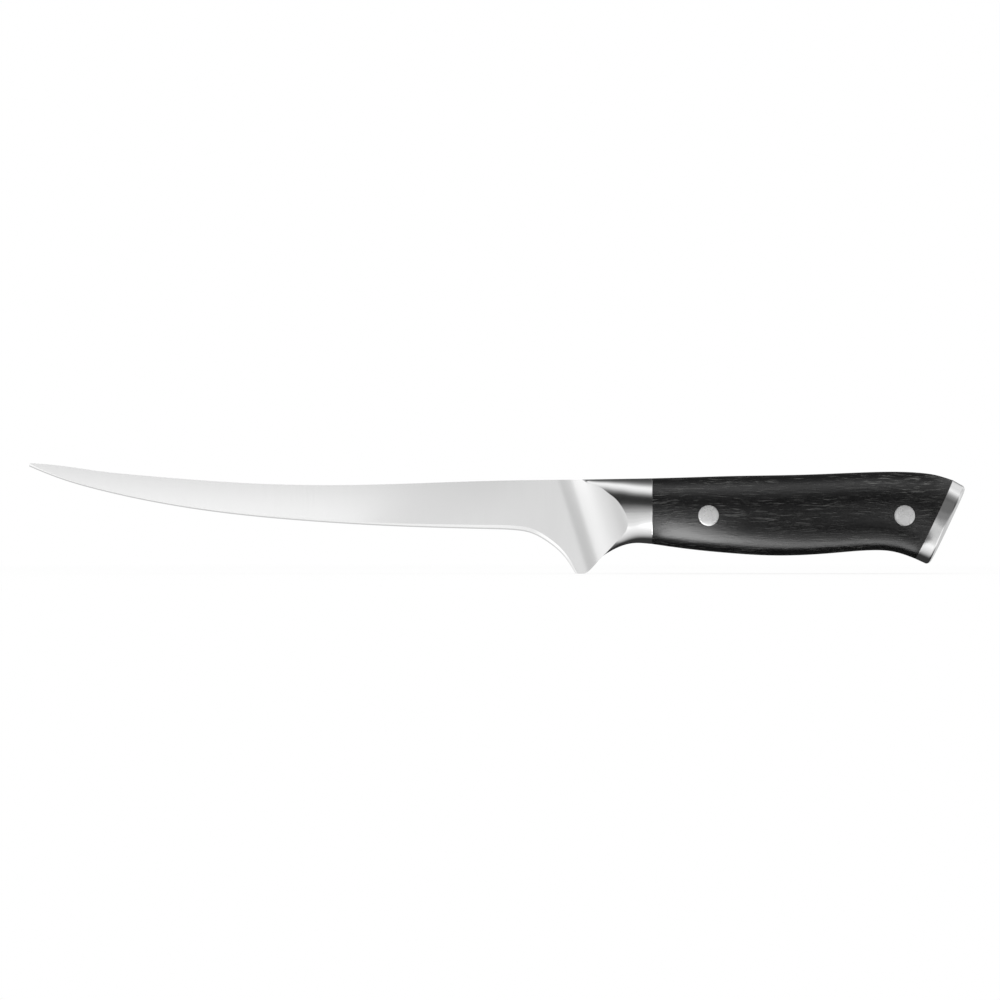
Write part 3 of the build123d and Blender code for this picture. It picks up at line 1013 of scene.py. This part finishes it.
def make_world():
    """Studio around the knife: its brightness by the angle around the X axis, times each
    window's level, plus the light past the butt and the wall. The camera sees plain white."""
    world = bpy.data.worlds.new("studio")
    bpy.context.scene.world = world
    world.use_nodes = True
    add, wire = node_tools(world.node_tree)

    def combine(operation, first, second):
        """Result of one operation on two values."""
        node = add("ShaderNodeMath", {0: first, 1: second}, operation=operation)
        return node.outputs["Value"]

    def blend(share, first, second):
        """Mix of two values by a share of the second."""
        node = add("ShaderNodeMix", {"Factor": share, "A": first, "B": second}, data_type="FLOAT")
        return node.outputs["Result"]

    def level_by(value, reach, levels):
        """Level that follows a value from -reach to reach, straight between its places. The
        curve holds half of each level, so that it stays below 1."""
        share = add("ShaderNodeMapRange", {"Value": value, "From Min": -reach, "From Max": reach})
        ramp = add("ShaderNodeFloatCurve", {"Value": share.outputs["Result"]})
        points = ramp.mapping.curves[0].points
        (first, first_level), *inner, (last, last_level) = levels
        points[0].location = (0.0, first_level / 2)
        points[1].location = (1.0, last_level / 2)
        for place, level in inner:
            points.new((place - first) / (last - first), level / 2)
        for point in points:
            point.handle_type = "VECTOR"
        ramp.mapping.update()
        return combine("MULTIPLY", ramp.outputs["Value"], 2.0)

    direction = add("ShaderNodeTexCoord").outputs["Generated"]
    parts = add("ShaderNodeSeparateXYZ", {"Vector": direction}).outputs
    front = combine("MULTIPLY", parts["Y"], -1.0)
    angle = combine("ARCTAN2", parts["Z"], front)
    level = level_by(angle, pi, STUDIO_LEVELS)
    for shares, levels in WINDOWS:
        share = level_by(angle, pi, shares)
        window = blend(share, 1.0, level_by(parts["X"], 1.0, levels))
        level = combine("MULTIPLY", level, window)
    butt_share = level_by(angle, pi, BUTT_LIGHT_SHARES)
    butt_level = level_by(parts["X"], 1.0, BUTT_LEVELS)
    level = combine("ADD", level, combine("MULTIPLY", butt_share, butt_level))
    level = combine("ADD", level, level_by(parts["X"], 1.0, WALL_LEVELS))
    seen = blend(add("ShaderNodeLightPath").outputs["Is Camera Ray"], level, 1.0)
    background = world.node_tree.nodes["Background"]
    wire(seen, background.inputs["Strength"])
    background.inputs["Color"].default_value = (1, 1, 1, 1)


def flat(layer, *corners):
    """Corners of a card that lies just above the floor. Where two meet, the one in the
    higher layer covers the other."""
    return [(x, y, layer * LAYER_HEIGHT) for x, y in corners]


def upright(start, end, low, high):
    """Corners of a card that stands on the line from start to end, between two heights."""
    return [(*start, low), (*end, low), (*end, high), (*start, high)]


# Cards that shape what the steel and the wood reflect: name, level and corners in metres.
# Below the handle they reach from just behind the bolster to just ahead of the cap, and
# back to just in front of the handle's side. The cap's cards and the neck's stand on lines
# of their own.
LAYER_HEIGHT = 0.0001
CARD_FRONT = 0.0515
CARD_REAR = 0.134
CARD_NEAR = -0.012
CAP_LINE = ((0.143, -0.05), (0.17, -0.05))
NECK_LINE = ((0.03, -0.055), (0.03, -0.022))
CARDS = [
    ("far_blade_light", 1.12, flat(3, (-0.45, -1.2), (-0.05, -1.2), (-0.05, -0.62), (-0.3, -0.62))),
    ("blade_light", 1.2, flat(3, (-0.3, -0.62), (-0.05, -0.62), (-0.05, -0.36), (-0.22, -0.36))),
    ("near_blade_light", 1.36, flat(3, (-0.22, -0.36), (-0.05, -0.36), (-0.05, -0.14), (-0.2, -0.14))),
    ("handle_card", 0.12, flat(
        2,
        (0.062, -0.4), (0.106, -0.4), (0.118, -0.23), (0.129, -0.11),
        (CARD_REAR, -0.06), (0.1355, -0.035), (CARD_REAR, -0.017), (0.062, -0.017),
    )),
    ("handle_shade", 0.65, flat(
        3,
        (CARD_FRONT, -0.05), (0.1, -0.034), (CARD_REAR, -0.02), (CARD_REAR, -0.013),
        (CARD_FRONT, -0.016),
    )),
    ("handle_light", 2.0, flat(
        4,
        (CARD_FRONT, -0.028), (0.08, -0.0225), (0.1, -0.0165), (0.115, -0.0135),
        (CARD_REAR, -0.013), (CARD_REAR, -0.0065), (0.1, -0.008), (0.08, -0.0095),
        (CARD_FRONT, -0.0105),
    )),
    ("butt_card", 0.7, flat(
        2, (0.141, 0.005), (0.15, -0.02), (0.3, -0.3), (0.5, -0.3), (0.5, 0.4), (0.141, 0.4),
    )),
    ("cap_card", 0.42, upright(*CAP_LINE, 0.014, 0.0195)),
    ("cap_card", 0.25, upright(*CAP_LINE, 0.0195, 0.028)),
    ("cap_card", 0.17, upright(*CAP_LINE, 0.028, 0.048)),
    ("side_light", 2.6, flat(
        5,
        (CARD_FRONT, -0.15), (0.056, -0.13), (0.064, -0.06), (0.074, -0.026),
        (0.09, -0.016), (0.1, CARD_NEAR), (CARD_FRONT, CARD_NEAR),
    )),
    ("front_light", 3.8, flat(
        6,
        (CARD_FRONT, -0.1), (0.0535, -0.085), (0.059, -0.045), (0.068, -0.022),
        (0.085, CARD_NEAR), (CARD_FRONT, CARD_NEAR),
    )),
    ("corner_light", 5.0, flat(
        7,
        (CARD_FRONT, -0.06), (0.053, -0.06), (0.062, -0.022), (0.074, CARD_NEAR),
        (CARD_FRONT, CARD_NEAR),
    )),
    ("neck_card", 1.0, upright(*NECK_LINE, 0.001, 0.006)),
    ("neck_card", 0.86, upright(*NECK_LINE, 0.006, 0.011)),
    ("neck_card", 0.75, upright(*NECK_LINE, 0.011, 0.015)),
    ("neck_card", 0.64, upright(*NECK_LINE, 0.015, 0.0185)),
    ("neck_card", 0.45, upright(*NECK_LINE, 0.0185, 0.0215)),
]


def make_card(name, level, corners):
    """Evenly lit card that only reflections see."""
    mesh = bpy.data.meshes.new(name)
    mesh.from_pydata(corners, [], [range(len(corners))])
    card = bpy.data.objects.new(name, mesh)
    bpy.context.scene.collection.objects.link(card)
    card.visible_camera = False
    card.visible_diffuse = False
    card.visible_shadow = False
    finish, shader, _, _ = new_finish(name)
    shader.inputs["Base Color"].default_value = (0, 0, 0, 1)
    shader.inputs["Specular IOR Level"].default_value = 0.0
    shader.inputs["Emission Color"].default_value = (1, 1, 1, 1)
    shader.inputs["Emission Strength"].default_value = level
    mesh.materials.append(finish)


def make_lamp(name, size, power, location, toward):
    """A soft rectangular lamp that lights the scene but isn't seen in the steel."""
    lamp = bpy.data.lights.new(name, "AREA")
    lamp.shape = "RECTANGLE"
    lamp.size, lamp.size_y = size
    lamp.energy = power
    holder = bpy.data.objects.new(name, lamp)
    bpy.context.scene.collection.objects.link(holder)
    holder.location = location
    aim = Vector(toward) - Vector(location)
    holder.rotation_euler = aim.to_track_quat("-Z", "Y").to_euler()
    holder.visible_glossy = False


def make_camera():
    """Camera level with the knife and square to its side, far enough away that the view is
    almost without perspective. Its lens shows the view's width at the knife."""
    distance = 2.5
    view_width = 0.326
    view_x, view_z = 0.00106, 0.02406
    camera = bpy.data.cameras.new("camera")
    camera.sensor_width = 36.0
    camera.lens = camera.sensor_width * distance / view_width
    holder = bpy.data.objects.new("camera", camera)
    bpy.context.scene.collection.objects.link(holder)
    holder.location = (view_x, -distance, view_z)
    holder.rotation_euler = (pi / 2, 0, 0)
    bpy.context.scene.camera = holder


make_floor()
for name, level, corners in CARDS:
    make_card(name, level, corners)
make_world()
make_lamp(
    "overhead_lamp", size=(1.6, 1.2), power=20.0, location=(0.0, -0.3, 1.6), toward=(0.0, 0.0, 0.0)
)
make_camera()
bpy.context.scene.view_settings.view_transform = "Standard"
